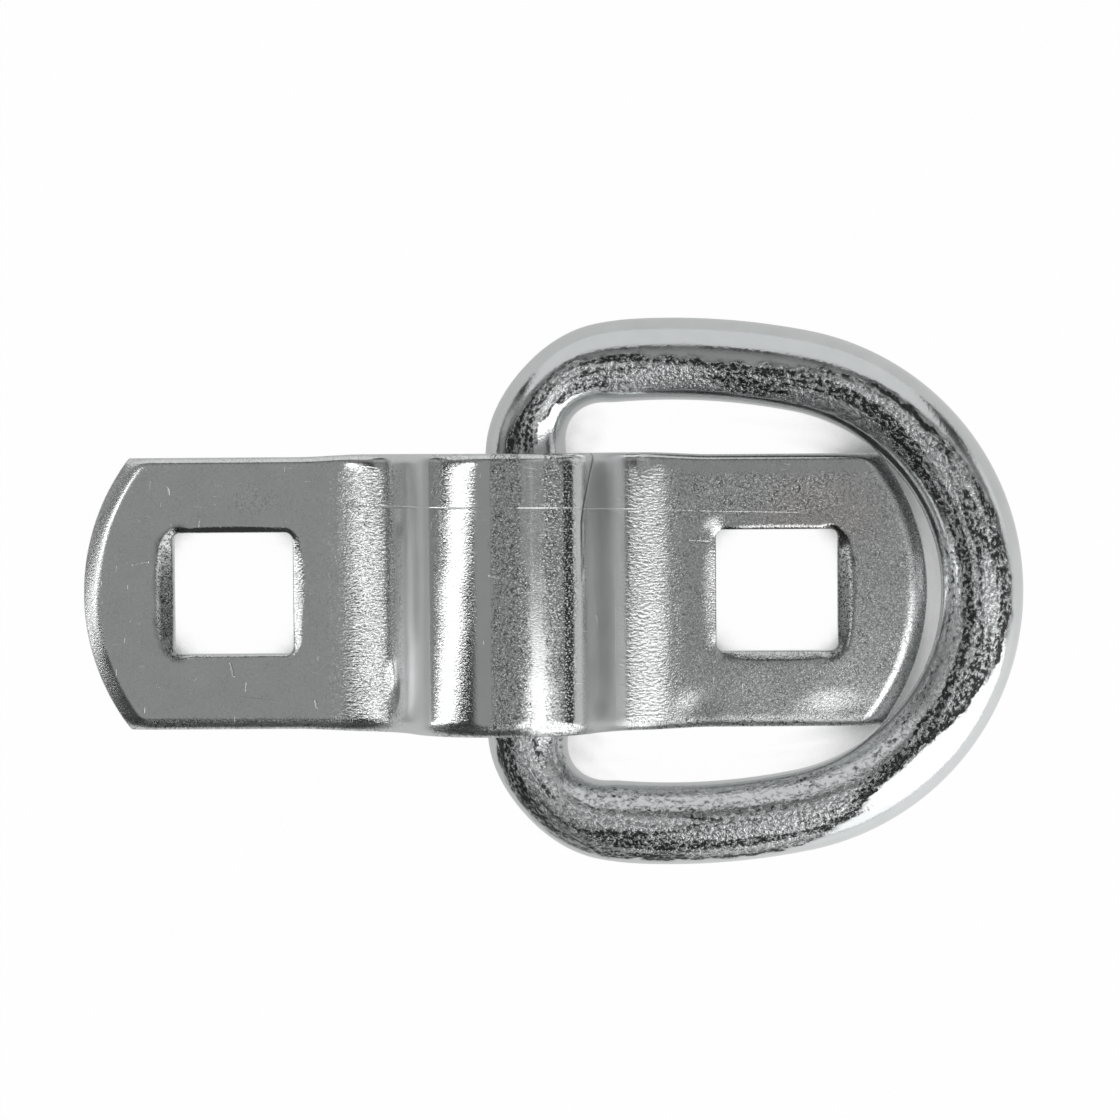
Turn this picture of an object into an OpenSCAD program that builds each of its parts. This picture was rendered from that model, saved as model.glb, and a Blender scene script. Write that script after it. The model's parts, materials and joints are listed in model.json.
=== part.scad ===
// Surface-mount tie-down ring: a press-formed steel strap with a raised hump across its middle,
// and a closed D-shaped ring whose straight bar lies loose in the channel under the hump.
// +X runs along the strap towards the side that the ring lies over, +Y runs across it, +Z points away
// from the mounting surface. The origin is midway between the two bolt holes, on the mounting surface.

/* [Strap] */
// Thickness of the strap
strap_t = 4.76; // [3:0.01:6.5]
// Width of the strap
strap_w = 31.75; // [26:0.25:38]
// Length of the strap from end to end, along its middle
strap_len = 98.4; // [92:0.1:112]
// Radius of the arc-cut ends, seen from above
end_r = 26; // [20:1:60]
// Rounding that the rolling mill leaves along the strap's long edges
edge_r = 0.7; // [0.3:0.05:1.2]

/* [Bolt holes] */
// Width across the flats of each square hole, for the square neck of a carriage bolt
hole_w = 14.2; // [10:0.1:16]
// Distance between the centres of the two holes
hole_spacing = 63.5; // [56:0.5:72]
// Corner radius of the square holes
hole_corner_r = 0.95; // [0.5:0.05:2]

/* [Sheared edges] */
// How far the sunken lip round a punched hole or a cut end reaches in from the edge
lip_w = 1.4; // [0.6:0.1:2]
// How deep that lip sinks at the edge
lip_d = 0.6; // [0.3:0.05:0.9]

/* [Hump] */
// Free height left above the ring's bar under the crown
headroom = 1.8; // [0.8:0.1:4]
// Free width left round the bar inside the crown's bend
crown_play = 1.5; // [0.8:0.1:3]
// Width of the flat along the top of the crown
crown_flat = 2.4; // [1:0.1:6]
// Length of the straight wall between the crown's bend and the foot's bend
wall_run = 0.6; // [0.4:0.1:4]
// Radius of the hollow at each foot of the hump, on the upper side
foot_r = 9.2; // [5:0.1:11]

/* [Ring] */
// Diameter of the ring's round rod
rod_d = 9.525; // [8:0.025:11]
// Width of the ring's eye, along the bar
eye_w = 44.45; // [40:0.05:50]
// Length of the ring's eye, from the bar to the middle of the bow
eye_len = 43.2; // [40:0.1:50]
// Inside radius of the two bends next to the bar
corner_r = 5.1; // [4:0.1:7]
// Distance from the bar's axis to the place where the ring is widest
widest_at = 16.5; // [14:0.5:20]
// Radius of the slight outward bow of the two legs, at the rod's axis
leg_r = 78; // [60:1:150]

/* [Fit] */
// Gap that the resting ring keeps to the channel and to the strap's corners
seat_gap = 0.3; // [0.1:0.05:0.6]
// Height of the resting bar above the mounting surface
bar_lift = 0.2; // [0.1:0.05:0.5]

/* [Hidden] */
$fn = 96;
// Overshoot of a cutter past the surface that it cuts
over = 1;
zinc = [0.70, 0.71, 0.71];
ring_zinc = [0.60, 0.62, 0.62];

// Hump, in the XZ plane. The wall is the common tangent of the foot's and the crown's bends.
bar_r = rod_d / 2;
rise = rod_d + headroom;
crown_r = bar_r + crown_play;
bends_r = foot_r + crown_r + strap_t;
wall_lean = atan2(wall_run, bends_r);
wall_angle = acos((bends_r - rise) / norm([bends_r, wall_run])) - wall_lean;
crown_x = crown_flat / 2;
crown_z = rise - crown_r;
foot_x = crown_x + bends_r * sin(wall_angle) + wall_run * cos(wall_angle);
foot_z = strap_t + foot_r;

// Arc-cut ends and the sunken lip along every sheared edge
end_x = strap_len / 2 - end_r;
end_turn = asin(strap_w / 2 / end_r);
lip_r = (lip_w * lip_w + lip_d * lip_d) / (2 * lip_d);

// Ring, in its own plane: u runs from the bar towards the bow and v along the bar. The bow's radius
// follows from its tangency to the two bowed legs.
leg_v = (eye_w + rod_d) / 2;
bow_u = eye_len + rod_d;
bow_reach = bow_u - widest_at;
bow_r = (2 * leg_r * leg_v - leg_v * leg_v - bow_reach * bow_reach) / (2 * (leg_r - bow_reach));
bow_mid = bow_u - bow_r;
leg_mid = leg_v - leg_r;
leg_to_bow = asin((bow_reach - bow_r) / (leg_r - bow_r));
bend_r = corner_r + bar_r;
leg_to_bend = asin((widest_at - bend_r) / (leg_r - bend_r));
bend_v = leg_mid + (leg_r - bend_r) * cos(leg_to_bend);
// The rod is drawn a hair thinner in the legs than in the bow, and once more in the tight bends
drawn = 0.02;
lap = 0.2;

// Resting place of the bar: against the channel's far side, just clear of the foot and the wall
bar_z = bar_r + bar_lift;
foot_reach = foot_r + strap_t + bar_r + seat_gap;
bar_x_at_foot = foot_x - sqrt(foot_reach * foot_reach - pow(foot_z - bar_z, 2));
wall_room = crown_r - bar_r - seat_gap;
bar_x_at_wall = crown_x + (wall_room - (bar_z - crown_z) * cos(wall_angle)) / sin(wall_angle);
bar_x = min(bar_x_at_foot, bar_x_at_wall);

// Resting tilt of the ring: the bow's inner side lies over the strap's two drawn-down corners
corner_x = end_x + end_r * cos(end_turn);
corner_z = strap_t - lip_d;
corner_away = norm([corner_x - bar_x, corner_z - bar_z]);
corner_slope = atan2(corner_z - bar_z, corner_x - bar_x);
rod_reach = bar_r + seat_gap;
function beside_rod(u) = bow_r - norm([u - bow_mid, strap_w / 2]);
function above_corner(u) = sqrt(max(0, pow(rod_reach, 2) - pow(beside_rod(u), 2)));
first_height = above_corner(corner_away);
corner_u = sqrt(pow(corner_away, 2) - pow(first_height, 2));
rest_tilt = corner_slope + asin(above_corner(corner_u) / corner_away);

// Section of the strap, with the thickness along x and the width along y
module strap_section() {
    translate([0, edge_r - strap_w / 2]) square([strap_t, strap_w - 2 * edge_r]);
    translate([edge_r, -strap_w / 2]) square([strap_t - 2 * edge_r, strap_w]);
    for (x = [edge_r, strap_t - edge_r], y = [-1, 1] * (strap_w / 2 - edge_r)) {
        translate([x, y]) circle(r = edge_r);
    }
}

// Straight run of the strap from a point of its underside, at an angle above the X axis
module strap_run(from, length, angle) {
    translate([from[0], 0, from[1]])
    rotate([0, -angle, 0])
    rotate([90, 0, 90])
    linear_extrude(height = length)
    rotate([0, 0, 90])
    mirror([0, 1])
    strap_section();
}

// Bent run of the strap about an axis along Y, between two directions seen from that axis
module strap_bend(mid, inner_r, start, end) {
    translate([mid[0], 0, mid[1]])
    rotate([90, 0, 0])
    rotate([0, 0, start])
    rotate_extrude(angle = end - start)
    translate([inner_r, 0])
    strap_section();
}

// Half of the formed strap, from the middle of the crown to one end
module strap_half() {
    strap_run([0, rise], crown_x, 0);
    strap_bend([crown_x, crown_z], crown_r, 90 - wall_angle, 90);
    wall_top = [crown_x + crown_r * sin(wall_angle), crown_z + crown_r * cos(wall_angle)];
    strap_run(wall_top, wall_run, -wall_angle);
    strap_bend([foot_x, foot_z], foot_r, 270 - wall_angle, 270);
    strap_run([foot_x, 0], strap_len / 2 - foot_x, 0);
}

// Profile of the metal drawn down at a sheared edge: x runs in from the edge, y = 0 is the upper face
module lip_profile() {
    difference() {
        translate([-over / 4, -lip_d - over / 4]) square([lip_w + over / 4, lip_d + over]);
        translate([lip_w, -lip_r]) circle(r = lip_r);
    }
}

// Square punched hole, centred on the origin, with its lip sunk round the upper edge
module bolt_hole() {
    flat_half = hole_w / 2 - hole_corner_r;
    translate([0, 0, -over]) linear_extrude(height = strap_t + 2 * over) {
        square([hole_w, 2 * flat_half], center = true);
        square([2 * flat_half, hole_w], center = true);
        for (x = [-1, 1], y = [-1, 1]) {
            translate([x, y] * flat_half) circle(r = hole_corner_r);
        }
    }
    translate([0, 0, strap_t]) for (side = [0:3]) rotate([0, 0, 90 * side]) {
        translate([hole_w / 2, flat_half, 0])
        rotate([90, 0, 0])
        linear_extrude(height = 2 * flat_half)
        lip_profile();
        translate([flat_half, flat_half, 0])
        rotate_extrude(angle = 90)
        translate([hole_corner_r, 0])
        lip_profile();
    }
}

// Waste beyond an arc-cut end, with the lip along the arc
module end_waste() {
    translate([end_x, 0, 0])
    rotate([0, 0, -end_turn - 4])
    rotate_extrude(angle = 2 * end_turn + 8) {
        translate([end_r, -over]) square([strap_w / 2, strap_t + 2 * over]);
        translate([end_r, strap_t]) mirror([1, 0]) lip_profile();
    }
}

// Strap bracket, punched, cut and pressed from one flat bar
module mounting_bracket() {
    color(zinc) difference() {
        for (side = [0, 1]) mirror([side, 0, 0]) strap_half();
        for (side = [0, 1]) mirror([side, 0, 0]) {
            translate([hole_spacing / 2, 0, 0]) bolt_hole();
            end_waste();
        }
    }
}

// Curved run of the rod in the ring's plane, between two directions seen from its centre
module rod_arc(mid, radius, start, end, thinner = 0) {
    translate([mid[0], mid[1], 0])
    rotate([0, 0, start])
    rotate_extrude(angle = end - start)
    translate([radius, 0])
    circle(d = rod_d - thinner);
}

// Turn that carries a thinner run of the given radius a little way into its thicker neighbour
function lap_turn(radius) = lap / radius * 180 / PI;

// Closed D of round rod, lying in the plane of its bar and bow
module ring_shape() {
    rotate([90, 0, 0]) cylinder(d = rod_d, h = 2 * bend_v, center = true);
    for (side = [0, 1]) mirror([0, side, 0]) {
        bend_start = 90 + leg_to_bend - lap_turn(bend_r);
        rod_arc([bend_r, bend_v], bend_r, bend_start, 180 + lap_turn(bend_r), 2 * drawn);
        leg_start = 90 - leg_to_bow - lap_turn(leg_r);
        rod_arc([widest_at, leg_mid], leg_r, leg_start, 90 + leg_to_bend, drawn);
    }
    rod_arc([bow_mid, 0], bow_r, leg_to_bow - 90, 90 - leg_to_bow);
}

// Ring at rest: its bar in the channel and its bow laid over the strap's corners
module d_ring() {
    color(ring_zinc)
    translate([bar_x, 0, bar_z])
    rotate([0, -rest_tilt, 0])
    ring_shape();
}

mounting_bracket();
d_ring();
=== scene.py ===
"""Looks of the surface-mount tie-down ring: a pressed, zinc-plated strap bracket and its loose D-ring.

Sizes are in millimetres inside the classes and become metres when a mesh is finished.
"""

import json
import logging
import math
from dataclasses import dataclass, field, fields
from enum import Enum

import bmesh
import bpy
from mathutils import Matrix, Vector, noise


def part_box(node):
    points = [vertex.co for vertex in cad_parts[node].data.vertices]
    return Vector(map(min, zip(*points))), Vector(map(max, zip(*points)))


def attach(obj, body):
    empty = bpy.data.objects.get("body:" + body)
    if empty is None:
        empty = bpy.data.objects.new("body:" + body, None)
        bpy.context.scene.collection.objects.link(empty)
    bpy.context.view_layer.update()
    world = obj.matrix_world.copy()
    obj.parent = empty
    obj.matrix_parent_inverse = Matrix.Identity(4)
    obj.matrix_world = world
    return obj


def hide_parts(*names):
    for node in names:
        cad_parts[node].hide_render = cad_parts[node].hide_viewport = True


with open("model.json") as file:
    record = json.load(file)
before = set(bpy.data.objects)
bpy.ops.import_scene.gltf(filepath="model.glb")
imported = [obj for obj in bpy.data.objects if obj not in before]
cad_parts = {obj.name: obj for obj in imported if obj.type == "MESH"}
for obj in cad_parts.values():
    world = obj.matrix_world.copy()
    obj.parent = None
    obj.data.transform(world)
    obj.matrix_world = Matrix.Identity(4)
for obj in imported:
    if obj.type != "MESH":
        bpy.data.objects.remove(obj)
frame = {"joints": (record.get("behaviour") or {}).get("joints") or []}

LOG = logging.getLogger("tie_down_ring")
MM = 0.001
QUARTER = math.pi / 2
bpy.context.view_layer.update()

Socket = bpy.types.NodeSocket
Pair = tuple[float, float]
Triple = tuple[float, float, float]


# Small helpers

def ramp(value: float, low: float, high: float) -> float:
    """Smooth step from 0 at low to 1 at high, for low below or above high."""
    share = max(0.0, min(1.0, (value - low) / (high - low)))
    return share * share * (3 - 2 * share)


def band(value: float, low: float, high: float, soft: float) -> float:
    """1 between low and high, fading to 0 over the soft width outside both."""
    return ramp(value, low - soft, low) * ramp(value, high + soft, high)


def ripple(place: Triple, size: Triple) -> float:
    """Smooth noise about 0, whose lumps have the given size."""
    return noise.noise(Vector([part / side for part, side in zip(place, size)]))


def turn_about(axis: str | Vector, degrees: float) -> Matrix:
    """Rotation about an axis."""
    return Matrix.Rotation(math.radians(degrees), 3, axis)


def points_in(made: list) -> list[bmesh.types.BMVert]:
    """Vertices among the parts that a bmesh operator made."""
    return [item for item in made if isinstance(item, bmesh.types.BMVert)]


def pull_edges(
    bm: bmesh.types.BMesh, edges: list[bmesh.types.BMEdge],
) -> tuple[list[bmesh.types.BMVert], list[bmesh.types.BMEdge]]:
    """Extrudes a closed chain of edges, in place.

    Args:
        bm: Mesh that the chain belongs to.
        edges: Edges of the chain.

    Returns:
        The vertices and the edges of the new chain.
    """
    grown = bmesh.ops.extrude_edge_only(bm, edges=edges)["geom"]
    verts = points_in(grown)
    fresh = set(verts)
    chain = [
        item for item in grown
        if isinstance(item, bmesh.types.BMEdge) and all(end in fresh for end in item.verts)
    ]
    return verts, chain


def shown(name: str, data: bpy.types.ID) -> bpy.types.Object:
    """Adds an object to the scene.

    Args:
        name: Name of the object.
        data: Its mesh, light or camera.

    Returns:
        The new object, at the origin.
    """
    thing = bpy.data.objects.new(name, data)
    bpy.context.scene.collection.objects.link(thing)
    return thing


def shown_mesh(bm: bmesh.types.BMesh, name: str) -> bpy.types.Object:
    """Turns a bmesh in metres into an object, and frees the bmesh.

    Args:
        bm: The finished shape.
        name: Name of the object and its mesh.

    Returns:
        The new object, at the origin.
    """
    mesh = bpy.data.meshes.new(name)
    bm.to_mesh(mesh)
    bm.free()
    return shown(name, mesh)


def finished(bm: bmesh.types.BMesh, name: str, crease: float) -> bpy.types.Object:
    """Turns a bmesh in millimetres into a shown object in metres.

    Args:
        bm: The finished shape, which is freed.
        name: Name of the object and its mesh.
        crease: Angle in degrees past which an edge shades sharp.

    Returns:
        The new object, at the origin.
    """
    bmesh.ops.scale(bm, verts=bm.verts[:], vec=(MM, MM, MM))
    bmesh.ops.recalc_face_normals(bm, faces=bm.faces[:])
    for face in bm.faces:
        face.smooth = True
    for edge in bm.edges:
        edge.smooth = edge.calc_face_angle(0.0) < math.radians(crease)
    piece = shown_mesh(bm, name)
    LOG.info("%s: %d faces, %.1f x %.1f x %.1f mm", name, len(piece.data.polygons), *(piece.dimensions / MM))
    return piece


@dataclass(frozen=True)
class Fade:
    """Smooth change from nothing at one value to everything at another."""

    nothing: float
    full: float

    def at(self, value: float) -> float:
        """Share reached at a value."""
        return ramp(value, self.nothing, self.full)


@dataclass(frozen=True)
class Zone:
    """Stretch in which a trait shows, fading over a soft width outside it."""

    start: float
    end: float
    soft: float
    amount: float = 1.0

    def at(self, value: float) -> float:
        """Amount of the trait at a value."""
        return self.amount * band(value, self.start, self.end, self.soft)


@dataclass(frozen=True)
class Patch:
    """Rounded patch of the flat blank, which fades from a share of its reach out to its rim."""

    along: float
    across: float
    reach: Pair
    amount: float
    full: float = 0.0
    rim: float = 1.0

    def at(self, x: float, y: float) -> float:
        """Amount at a point of the blank."""
        away = math.hypot((x - self.along) / self.reach[0], (y - self.across) / self.reach[1])
        return self.amount * ramp(away, self.rim, self.full)


# Bracket

@dataclass(frozen=True)
class HumpPath:
    """Run of the strap's middle surface over the hump, in the XZ plane and in millimetres."""

    thickness: float = 4.76
    rod: float = 9.525
    headroom: float = 1.8
    crown_play: float = 1.5
    crown_flat: float = 2.4
    wall_run: float = 0.6
    foot_r: float = 9.2

    @property
    def rise(self) -> float:
        """Free height under the crown."""
        return self.rod + self.headroom

    @property
    def crown_r(self) -> float:
        """Radius inside the crown's bend."""
        return self.rod / 2 + self.crown_play

    @property
    def bends_r(self) -> float:
        """Sum of the radii of the two bends that the wall is tangent to."""
        return self.foot_r + self.crown_r + self.thickness

    @property
    def lean(self) -> float:
        """Angle of the wall, in radians."""
        reach = math.hypot(self.bends_r, self.wall_run)
        return math.acos((self.bends_r - self.rise) / reach) - math.atan2(self.wall_run, self.bends_r)

    @property
    def foot_x(self) -> float:
        """Where the flat flange starts."""
        return self.crown_flat / 2 + self.bends_r * math.sin(self.lean) + self.wall_run * math.cos(self.lean)

    @property
    def marks(self) -> tuple[float, float, float, float]:
        """Lengths along the middle surface at which the crown, wall, foot and flange start."""
        crown = self.crown_flat / 2
        wall = crown + (self.crown_r + self.thickness / 2) * self.lean
        foot = wall + self.wall_run
        return crown, wall, foot, foot + (self.foot_r + self.thickness / 2) * self.lean

    def place(self, along: float, height: float) -> Pair:
        """Point of the formed strap.

        Args:
            along: Length along the middle surface, from the middle of the crown.
            height: Height above the underside of the flat strap.

        Returns:
            The point's x and z.
        """
        side, run = math.copysign(1.0, along), abs(along)
        crown, wall, foot, flange = self.marks
        crown_mid, foot_mid = self.crown_r + self.thickness / 2, self.foot_r + self.thickness / 2
        if run < wall:
            turn = max(0.0, (run - crown) / crown_mid)
            x = min(run, crown) + crown_mid * math.sin(turn)
            z = self.rise - self.crown_r + crown_mid * math.cos(turn)
        elif run < foot:
            turn = self.lean
            x = crown + crown_mid * math.sin(turn) + (run - wall) * math.cos(turn)
            z = self.rise - self.crown_r + crown_mid * math.cos(turn) - (run - wall) * math.sin(turn)
        else:
            turn = max(0.0, (flange - run) / foot_mid)
            x = self.foot_x - foot_mid * math.sin(turn) + max(0.0, run - flange)
            z = self.thickness + self.foot_r - foot_mid * math.cos(turn)
        off = height - self.thickness / 2
        return side * (x + off * math.sin(turn)), z + off * math.cos(turn)


class Side(Enum):
    """Sides of a punched hole, in quarter turns from +X."""

    RIGHT = 0
    BACK = 1
    LEFT = 2
    FRONT = 3


@dataclass(frozen=True)
class Lip:
    """Metal drawn down along a sheared edge.

    The form is the power of its fall: 1 is a flat bevel, 2 a round shoulder.
    """

    width: float
    depth: float
    form: float

    def drop(self, inside: float) -> float:
        """How far the upper face has sunk at a distance inside the edge."""
        return self.depth * max(0.0, 1 - max(0.0, inside) / self.width) ** self.form

    def blend(self, other: "Lip", share: float) -> "Lip":
        """Lip part of the way to another one."""
        mine, theirs = (self.width, self.depth, self.form), (other.width, other.depth, other.form)
        return Lip(*(a + (b - a) * share for a, b in zip(mine, theirs)))


@dataclass(frozen=True)
class Feel:
    """How strongly each trait of the plating, and the painted shade, shows at a point. The defaults are for
    the hidden sides.
    """

    grain: float = 0.5
    speck: float = 0.3
    wrinkle: float = 0.0
    dull: float = 0.4
    # Painted shade: darkens the colour where the reflections should look darker.
    shade: float = 0.0
    warm: float = 0.0


@dataclass(frozen=True)
class Edges:
    """Amounts on a hole's rim, a cut end's rim, the sheared lip beyond a hole, and the strap's long edges."""

    hole: float = 0.0
    end: float = 0.0
    lip: float = 0.0
    long: float = 0.0

    def strongest(self, near: "Edges") -> float:
        """Largest of the amounts, each times how near its edge is."""
        return max(self.hole * near.hole, self.end * near.end, self.lip * near.lip, self.long * near.long)


@dataclass(frozen=True)
class StrapWear:
    """Where the traits of the plating, and the painted shade, lie on the flat blank's upper face, as in the
    photograph.
    """

    skin: float = 1.2
    across: Zone = Zone(-14.6, 14.0, 0.7)
    wander: float = 0.4
    wander_size: Triple = (2.3, 5.0, 1.0)
    wander_seed: float = 7.0
    left_wall: tuple[Fade, Fade] = (Fade(-17.8, -13.0), Fade(-6.9, -7.2))
    right_wall: tuple[Fade, Fade] = (Fade(8.2, 9.2), Fade(18.2, 15.8))
    left_wall_dull: float = 0.5
    right_wall_dull: float = 0.6
    wall_calm: float = 0.8
    flange: Fade = Fade(19.0, 23.5)
    hump_grain: float = 0.35

    crown: Zone = Zone(-6.8, 7.9, 0.15)
    crown_left: Zone = Zone(-6.8, -2.9, 0.3, 0.5)
    crown_middle: Zone = Zone(-0.9, 1.9, 0.3)
    crown_gap: Zone = Zone(1.9, 4.2, 0.3, 0.25)
    crown_right: Zone = Zone(4.3, 7.2, 0.3)
    middle_widens: float = 0.9
    middle_back: Fade = Fade(-2.0, 7.0)
    # Painted shade over the crown's middle stripe, fading out towards the right wall.
    crown_painted_shade: float = 0.2
    crown_painted_shade_fade: Fade = Fade(7.5, 3.5)
    crown_stripe: Zone = Zone(-6.6, -2.6, 0.5, 1.04)
    bend: Zone = Zone(7.6, 9.4, 0.4, 0.25)

    wrinkles: tuple[Zone, ...] = (
        Zone(-22.2, -16.8, 1.8, 0.5), Zone(17.7, 22.6, 1.8, 0.45), Zone(15.5, 18.0, 1.0, 0.25),
    )
    mottled: Zone = Zone(-17.0, -12.5, 1.0, 0.6)
    right_foot: Zone = Zone(17.0, 22.5, 1.5, 0.35)
    foot_fuzz: Zone = Zone(21.8, 24.6, 1.2, 2.4)
    foot_hollow: Zone = Zone(15.6, 17.8, 1.6, 0.13)

    left_grain: float = 0.45
    left_speck: float = 0.16
    left_patch: Patch = Patch(-33.5, 11.0, (3.0, 2.4), 0.3, 0.3, 1.2)
    right_speck: float = 0.6
    right_patch: tuple[Zone, Zone] = (Zone(27.0, 42.0, 2.0, 0.4), Zone(9.5, 13.0, 0.8))
    bare: float = 0.8
    bare_edge: Fade = Fade(13.2, 14.4)
    warm: Patch = Patch(41.0, 9.0, (8.0, 5.0), 0.5, 0.2, 1.2)
    least_dull: float = 0.03
    # Painted shade over the right-hand foot and flange.
    right_painted_shade: float = 0.1
    right_painted_shade_fade: Fade = Fade(16.5, 19.0)
    # Painted shade along the front edge of the right-hand flange.
    front_painted_shade: float = 0.3
    front_painted_shade_from: float = 20.0
    front_painted_shade_fade: Fade = Fade(14.2, 15.2)

    long_edge: Fade = Fade(14.2, 15.0)
    back_edge: float = 0.3
    hole_rim: Pair = (0.3, 0.4)
    end_rim: Fade = Fade(2.6, 0.8)
    lip_reach: Pair = (0.7, -0.1)
    lip_at: float = 8.0
    lip_fade: Fade = Fade(3.0, 1.6)
    edge_speck: Edges = Edges(0.35, 0.5, 0.7, 0.9)
    edge_grain: Edges = Edges(2.4, 2.4, 0.0, 2.4)
    edge_dull: Edges = Edges(0.0, 0.4, 0.3, 0.45)
    # Painted shade on the lips beyond the holes, which also dims their highlights.
    edge_painted_shade: Edges = Edges(lip=0.55)


@dataclass
class MountingBracket:
    """Strap bracket, blanked flat, punched, and pressed into its hump."""

    path: HumpPath = field(default_factory=HumpPath)
    wear: StrapWear = field(default_factory=StrapWear)
    edge_r: float = 0.7
    shear_r: float = 0.14
    end_r: float = 26.0
    hole_w: float = 14.2
    hole_spacing: float = 63.5
    hole_corner_r: float = 0.95
    left_end: Lip = Lip(2.0, 0.75, 1.7)
    right_end: Lip = Lip(2.1, 0.75, 1.5)
    back_edge: Lip = Lip(0.9, 0.08, 1.8)
    left_front: Lip = Lip(1.15, 0.3, 1.5)
    right_front: Lip = Lip(0.9, 0.08, 1.8)
    front_change: Fade = Fade(0.0, 24.0)
    left_hole: dict[Side, Lip] = field(default_factory=lambda: {
        Side.RIGHT: Lip(1.7, 0.36, 1.6),
        Side.BACK: Lip(0.8, 0.35, 1.4),
        Side.LEFT: Lip(1.65, 1.35, 1.05),
        Side.FRONT: Lip(0.4, 0.15, 1.5),
    })
    right_hole: dict[Side, Lip] = field(default_factory=lambda: {
        Side.RIGHT: Lip(1.6, 1.3, 1.05),
        Side.BACK: Lip(0.45, 0.12, 1.4),
        Side.LEFT: Lip(1.8, 0.2, 1.6),
        Side.FRONT: Lip(1.3, 0.5, 1.2),
    })
    corner_blend: Fade = Fade(0.72, 1.0)
    corner_loss: float = 0.5
    dents: tuple[Patch, ...] = (
        Patch(-13.6, 8.0, (1.9, 1.9), 0.08),
        Patch(-14.6, -10.4, (1.8, 3.6), 0.3),
        Patch(19.8, 15.0, (2.2, 2.0), 0.15),
        Patch(26.6, -14.2, (3.6, 3.6), 0.12),
        Patch(43.0, -14.4, (6.0, 3.4), 0.1),
        Patch(29.4, 6.8, (2.6, 2.4), 0.15),
    )
    waves: float = 0.018
    wave_size: Triple = (5.5, 4.5, 1.0)
    breakout: float = 0.12
    breakout_from: float = 0.45
    spread: float = 0.28
    spread_fade: Fade = Fade(5.0, -3.0)
    crease: float = 40.0
    rows: int = 96
    hump_columns: int = 150
    hole_rings: int = 28
    ring_growth: float = 1.15
    edge_steps: int = 4
    wall_steps: int = 5
    weld: float = 0.004
    near: float = 0.02

    def __post_init__(self) -> None:
        """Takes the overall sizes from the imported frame."""
        low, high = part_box("mounting_bracket")
        self.length = (high.x - low.x) / MM
        self.width = (high.y - low.y) / MM
        self.flat_half = self.width / 2 - self.edge_r
        self.flange = self.path.marks[3]
        self.shift = self.path.foot_x - self.flange
        self.end_x = self.length / 2 - self.end_r - self.shift
        self.hole_x = self.hole_spacing / 2 - self.shift

    def arc_x(self, y: float, inset: float = 0.0) -> float:
        """Where the arc-cut end lies at y on the flat blank, drawn in by inset."""
        return self.end_x + math.sqrt((self.end_r - inset) ** 2 - y * y)

    def hole_point(self, side: int, share: float, out: float) -> Vector:
        """Point on the outline of the right-hand square hole.

        Args:
            side: 0 to 3, counted from the side next to the strap's end, to the left.
            share: Way along that side, from 0 to 1.
            out: Distance outside the hole's edge.

        Returns:
            The point on the flat blank.
        """
        straight = self.hole_w / 2 - self.hole_corner_r
        run = (share - 0.5) * (2 * straight + self.hole_corner_r * QUARTER)
        turn = max(0.0, abs(run) - straight) / self.hole_corner_r
        reach = self.hole_corner_r + out
        point = Vector((
            straight + reach * math.cos(turn),
            math.copysign(min(abs(run), straight) + reach * math.sin(turn), run),
            0.0,
        ))
        return Matrix.Rotation(side * QUARTER, 3, "Z") @ point + Vector((self.hole_x, 0, 0))

    def border_point(self, side: int, share: float) -> Vector:
        """Point on the border of the right-hand flange, in step with hole_point.

        Args:
            side: 0 to 3, as for the hole.
            share: Way along that side, from 0 to 1.

        Returns:
            The point on the flat blank.
        """
        across = (2 * share - 1) * self.flat_half
        corner = self.arc_x(self.flat_half, self.shear_r)
        along = corner + (self.flange - corner) * share
        return Vector((
            (self.arc_x(across, self.shear_r), along, self.flange, self.flange + corner - along)[side],
            (across, self.flat_half, -across, -self.flat_half)[side],
            0.0,
        ))

    def hole_distance(self, x: float, y: float) -> tuple[float, Vector]:
        """Distance of a point from the nearer hole's edge.

        Args:
            x: Place along the blank.
            y: Place across it.

        Returns:
            The distance, negative inside the hole, and the direction away from the hole.
        """
        dx, dy = x - math.copysign(self.hole_x, x), y
        straight = self.hole_w / 2 - self.hole_corner_r
        qx, qy = abs(dx) - straight, abs(dy) - straight
        if qx > 0 and qy > 0:
            away = Vector((math.copysign(qx, dx), math.copysign(qy, dy), 0))
            return away.length - self.hole_corner_r, away.normalized()
        if qx > qy:
            return qx - self.hole_corner_r, Vector((math.copysign(1, dx), 0, 0))
        return qy - self.hole_corner_r, Vector((0, math.copysign(1, dy), 0))

    def flange_sheet(self, bm: bmesh.types.BMesh) -> None:
        """Extrudes the right hole's outline, ring by ring, out to the flange's border.

        Args:
            bm: Empty mesh that takes the sheet.
        """
        turn = bm.verts.layers.int.new("turn")
        made = bmesh.ops.create_circle(bm, cap_ends=False, radius=self.hole_w, segments=4 * self.rows)
        verts, edges = made["verts"], bm.edges[:]
        for index, vert in enumerate(verts):
            vert[turn] = index
        for ring in range(self.hole_rings + 1):
            if ring:
                verts, edges = pull_edges(bm, edges)
            reach = (ring / self.hole_rings) ** self.ring_growth
            for vert in verts:
                side, step = divmod(vert[turn], self.rows)
                start = self.hole_point(side, step / self.rows, self.shear_r)
                vert.co = start.lerp(self.border_point(side, step / self.rows), reach)

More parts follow.
